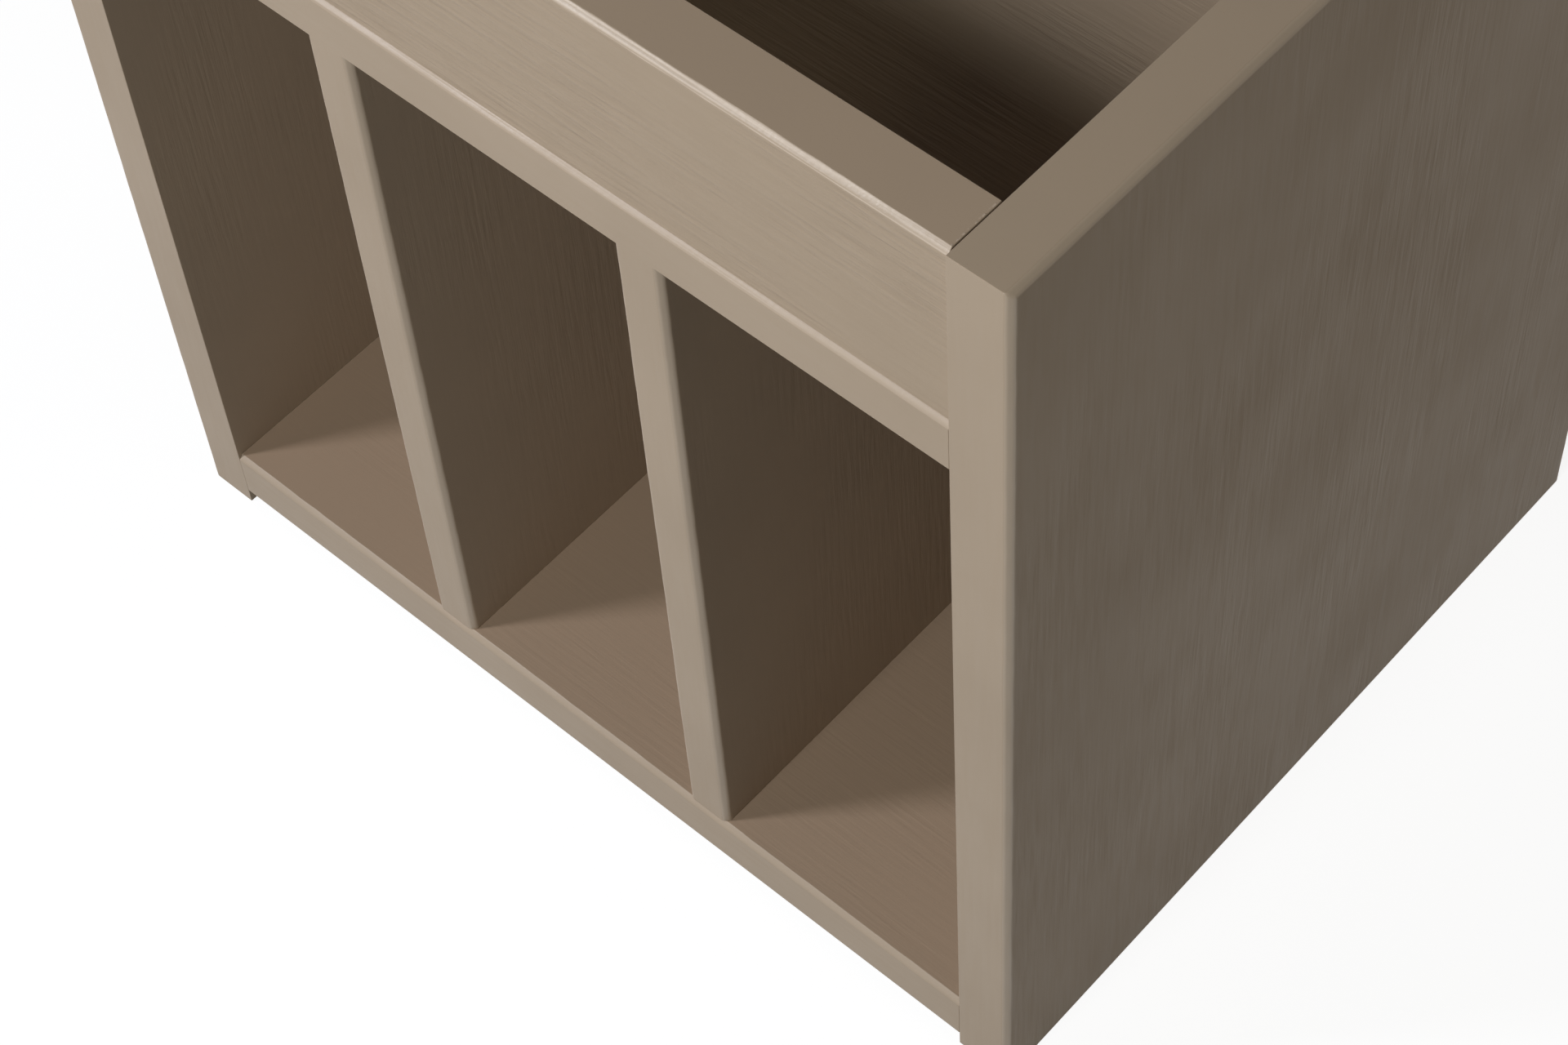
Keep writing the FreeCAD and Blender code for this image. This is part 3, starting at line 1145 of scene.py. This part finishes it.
    def build(self, paintwork: Paintwork) -> bpy.types.Object:
        """Model the board and dress it.

        Args:
            paintwork: The finishes.

        Returns:
            The finished board.
        """
        piece = add_block(self.node + "_board", self.box)
        if self.chamfers:
            self.cut_chamfers(piece)
            for axis in sorted(set(map(run_axis, self.chamfers))):
                self.slice_along(piece, axis)
            self.waver_edges(piece)
        self.shape(piece)
        self.weigh_edges(piece)
        apply_modifier(
            piece, "BEVEL", width=self.soft_ease, segments=self.ease_segments, limit_method="WEIGHT"
        )
        self.mark_faces(piece)
        for fastener in self.sockets:
            cut_away(piece, fastener.sockets())
        smooth(piece)
        paintwork.put_on(piece, self.slot)
        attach(piece, BODY)
        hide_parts(self.node)
        return piece


@dataclass
class SidePanel(Board):
    """An upright panel with a rebate for the back along its inner rear edge."""

    inner: Face = Face.LEFT
    inner_brush: float = 1
    rebate_width: float = 0.010
    overrun: float = 0.001

    def brushing(self, normal: Vector) -> float:
        """The inner face has its own share of brushing."""
        return self.inner_brush if normal.dot(self.inner.normal) > 0 else self.brush

    def shape(self, piece: bpy.types.Object) -> None:
        """Cut the rebate, as deep as the back panel's seat.

        Args:
            piece: The panel with its chamfers.
        """
        box = self.box
        margin = Vector((self.overrun, self.overrun, self.overrun))
        low, high = box.low - margin, box.high + margin
        low.y = node_box("back_panel").low.y
        inner_plane = box.plane(self.inner)
        rebate_end = inner_plane - self.inner.sign * self.rebate_width
        before = inner_plane + self.inner.sign * self.overrun
        low.x, high.x = sorted((rebate_end, before))
        cut_away(piece, add_block("rebate", Box(low, high)))


@dataclass(frozen=True)
class SoftLamp:
    """A round soft lamp that looks at the cabinet; its azimuth counts from the front, to the right."""

    name: str
    azimuth_deg: float
    elevation_deg: float
    distance: float
    diameter: float
    power: float
    tint: Triple

    def direction(self) -> Vector:
        """Work out where the lamp hangs.

        Returns:
            The direction from the cabinet towards the lamp.
        """
        azimuth, elevation = math.radians(self.azimuth_deg), math.radians(self.elevation_deg)
        level = math.cos(elevation)
        return Vector((math.sin(azimuth) * level, -math.cos(azimuth) * level, math.sin(elevation)))

    def build(self, aim: Vector) -> bpy.types.Object:
        """Hang the lamp.

        Args:
            aim: The point that the lamp looks at.

        Returns:
            The lamp.
        """
        lamp = bpy.data.lights.new(self.name, "AREA")
        lamp.shape = "DISK"
        lamp.size = self.diameter
        lamp.energy = self.power
        lamp.color = self.tint
        holder = bpy.data.objects.new(self.name, lamp)
        holder.location = aim + self.direction() * self.distance
        holder.rotation_euler = (-self.direction()).to_track_quat("-Z", "Y").to_euler()
        bpy.context.scene.collection.objects.link(holder)
        return holder


KEY_LAMP = SoftLamp(
    "key_lamp",
    azimuth_deg=-40,
    elevation_deg=29,
    distance=2.5,
    diameter=0.44,
    power=26.2,
    tint=(0.99, 1.00, 1.08),
)
FRONT_LAMP = SoftLamp(
    "front_lamp",
    azimuth_deg=12,
    elevation_deg=35,
    distance=2.0,
    diameter=0.76,
    power=20.6,
    tint=(0.965, 1.00, 1.00),
)
RIGHT_LAMP = SoftLamp(
    "right_lamp",
    azimuth_deg=100,
    elevation_deg=36,
    distance=2.0,
    diameter=0.64,
    power=1.95,
    tint=(1.09, 1.00, 0.78),
)
REAR_LAMP = SoftLamp(
    "rear_lamp",
    azimuth_deg=165,
    elevation_deg=10,
    distance=2.0,
    diameter=0.90,
    power=8.0,
    tint=(1.08, 1.00, 0.92),
)


@dataclass
class Studio:
    """A pale floor under soft lamps, seen from the photograph's side."""

    camera_place: Triple = (0.589995, -0.633011, 1.211990)
    camera_aim: Triple = (0.124897, -0.180000, 0.279818)
    camera_roll_deg: float = -4.917
    camera_lens_mm: float = 81.2145
    sensor_mm: float = 36
    lamps: tuple[SoftLamp, ...] = (KEY_LAMP, FRONT_LAMP, RIGHT_LAMP, REAR_LAMP)
    lamp_aim: Triple = (0, -0.1, 0.3)
    floor_size: float = 14
    floor_drop: float = 0.0002
    floor_grey: float = 0.4
    floor_glow: float = 0.87
    shadow_grey: float = 0.22

    @staticmethod
    def in_sight(shader: Shader) -> Socket:
        """Tell rays that show the surface from rays that only carry its light.

        Args:
            shader: The surface's tree.

        Returns:
            One where the camera, a reflection or a view through glass meets the surface.
        """
        path = shader.add("ShaderNodeLightPath", {}).outputs
        seen = shader.math("MAXIMUM", path["Is Camera Ray"], path["Is Glossy Ray"])
        return shader.math("MAXIMUM", seen, path["Is Transmission Ray"])

    @staticmethod
    def matt_grey(shader: Shader, grey: float) -> Socket:
        """A plain matt surface."""
        return shader.add("ShaderNodeBsdfDiffuse", {"Color": (grey, grey, grey, 1)}).outputs["BSDF"]

    def add_floor(self) -> bpy.types.Object:
        """Lay the pale floor, which is seen as white outside the cabinet's shadow.

        Returns:
            The floor.
        """
        start_clean()
        bpy.ops.mesh.primitive_plane_add(size=self.floor_size, location=(0, 0, -self.floor_drop))
        floor = bpy.context.object
        floor.name = "studio_floor"
        shader = Shader.of_material("pale_floor")
        lit, shaded = (self.matt_grey(shader, grey) for grey in (self.floor_grey, self.shadow_grey))
        glow = shader.add("ShaderNodeEmission", {"Strength": self.floor_glow}).outputs["Emission"]
        seen = shader.add("ShaderNodeAddShader", {0: shaded, 1: glow}).outputs["Shader"]
        choice = {0: self.in_sight(shader), 1: lit, 2: seen}
        either = shader.add("ShaderNodeMixShader", choice).outputs["Shader"]
        shader.plug(shader.output.inputs["Surface"], either)
        floor.data.materials.append(shader.holder)
        return floor

    def add_room(self) -> None:
        """Close the room in white that is seen but adds no light of its own."""
        room = Shader.of_world("studio_room")
        bpy.context.scene.world = room.holder
        room.finish("Strength", self.in_sight(room))
        room.finish("Color", WHITE)

    def add_camera(self) -> bpy.types.Object:
        """Set up the camera where the photograph was taken from.

        Returns:
            The camera.
        """
        view = bpy.data.cameras.new("photo_camera")
        view.lens = self.camera_lens_mm
        view.sensor_width = self.sensor_mm
        view.sensor_fit = "HORIZONTAL"
        camera = bpy.data.objects.new("photo_camera", view)
        sight = Vector(self.camera_aim) - Vector(self.camera_place)
        place = Matrix.Translation(self.camera_place)
        turn = sight.to_track_quat("-Z", "Y").to_matrix().to_4x4()
        roll = Matrix.Rotation(math.radians(self.camera_roll_deg), 4, "Z")
        camera.matrix_world = place @ turn @ roll
        bpy.context.scene.collection.objects.link(camera)
        bpy.context.scene.camera = camera
        return camera

    def build(self) -> None:
        """Set the whole scene around the cabinet."""
        self.add_floor()
        self.add_room()
        for lamp in self.lamps:
            lamp.build(Vector(self.lamp_aim))
        self.add_camera()
        bpy.context.scene.view_settings.view_transform = "Standard"


@dataclass
class Cabinet:
    """All pieces of the record cabinet."""

    paintwork: Paintwork
    bay_brush: float = 0.2
    bin_brush: float = 0.6
    outer_brush: float = 0.5
    # Shares of painted shade on the bay floors and on the apron's top.
    bay_painted_shade: float = 0.8
    apron_painted_shade: float = 0.3
    # Shares of the painted highlight on the shelf's and the apron's chamfers.
    shelf_highlight: float = 0.2
    apron_highlight: float = 1
    apron_gap: float = 0.0005
    apron_pitch: float = 0.003
    dowels: tuple[str, ...] = (
        "bottom_shelf_dowels",
        "middle_shelf_dowels",
        "divider_dowels",
        "apron_dowels",
    )
    bolts: tuple[str, ...] = ("bottom_shelf_cam_bolts", "middle_shelf_cam_bolts", "apron_cam_bolts")

    def fasteners(self) -> dict[str, Fastener]:
        """List the fasteners whose heads show.

        Returns:
            The sets of fasteners, by node.
        """
        sets = (
            CamSet("bottom_shelf_cams", Slot.ZINC, Face.BOTTOM),
            CamSet("middle_shelf_cams", Slot.ZINC, Face.BOTTOM),
            CamSet("apron_cams", Slot.ZINC, Face.BACK),
            CountersunkSet("divider_screws", Slot.STEEL, Face.BOTTOM),
            PanHeadSet("back_panel_screws", Slot.STEEL, Face.BACK),
        )
        return {fastener.node: fastener for fastener in sets}

    def boards(self, fasteners: dict[str, Fastener]) -> tuple[Board, ...]:
        """List the eight boards.

        Args:
            fasteners: The fasteners that some boards take.

        Returns:
            The boards, ready to build.
        """
        def sockets(*nodes: str) -> tuple[Fastener, ...]:
            """The fasteners that a board takes."""
            return tuple(fasteners[node] for node in nodes)

        front_top = ((Face.FRONT, Face.TOP),)
        uprights = ((Face.FRONT, Face.LEFT), (Face.FRONT, Face.RIGHT))
        boards = [
            Board(
                "bottom_shelf",
                Slot.LEVEL,
                front_top,
                sockets("bottom_shelf_cams", "divider_screws"),
                brush=self.bay_brush,
                worn=self.bay_painted_shade,
            ),
            Board(
                "middle_shelf",
                Slot.LEVEL,
                front_top,
                sockets("middle_shelf_cams"),
                brush=self.bin_brush,
                rub=self.shelf_highlight,
            ),
            Board(
                "front_apron",
                Slot.LEVEL,
                front_top,
                sockets("apron_cams"),
                rub=self.apron_highlight,
                worn=self.apron_painted_shade,
                beaded=True,
                end_gap=self.apron_gap,
                slice_pitch=self.apron_pitch,
            ),
            Board("divider_left", Slot.UPRIGHT, uprights, brush=self.bay_brush),
            Board("divider_right", Slot.UPRIGHT, uprights, brush=self.bay_brush),
            Board("back_panel", Slot.BACK),
        ]
        brushes = {"brush": self.outer_brush, "inner_brush": self.bay_brush}
        for node, outer, inner in (
            ("side_panel_left", Face.LEFT, Face.RIGHT),
            ("side_panel_right", Face.RIGHT, Face.LEFT),
        ):
            edges = ((Face.FRONT, outer), (Face.BACK, outer), (outer, Face.TOP))
            boards.append(SidePanel(node, Slot.UPRIGHT, edges, inner=inner, **brushes))
        return tuple(boards)

    def dress_hidden_nodes(self) -> Iterator[bpy.types.Object]:
        """Give the dowels and bolts inside the joints their finish.

        Yields:
            Each dressed CAD node.
        """
        for slot, nodes in ((Slot.DOWEL, self.dowels), (Slot.STEEL, self.bolts)):
            for node in nodes:
                self.paintwork.put_on_node(node, slot)
                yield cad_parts[node]

    def build(self) -> Iterator[bpy.types.Object]:
        """Build and dress every piece in turn.

        Yields:
            Each finished piece.
        """
        fasteners = self.fasteners()
        for part in (*self.boards(fasteners), *fasteners.values()):
            yield part.build(self.paintwork)
        yield from self.dress_hidden_nodes()


def main() -> None:
    """Build the cabinet, report each piece, and set the studio around it."""
    logging.basicConfig(level=logging.INFO, format="%(message)s")
    for piece in Cabinet(Paintwork()).build():
        LOG.info("%s: %d faces", piece.name, len(piece.data.polygons))
    Studio().build()


if __name__ == "__main__":
    main()
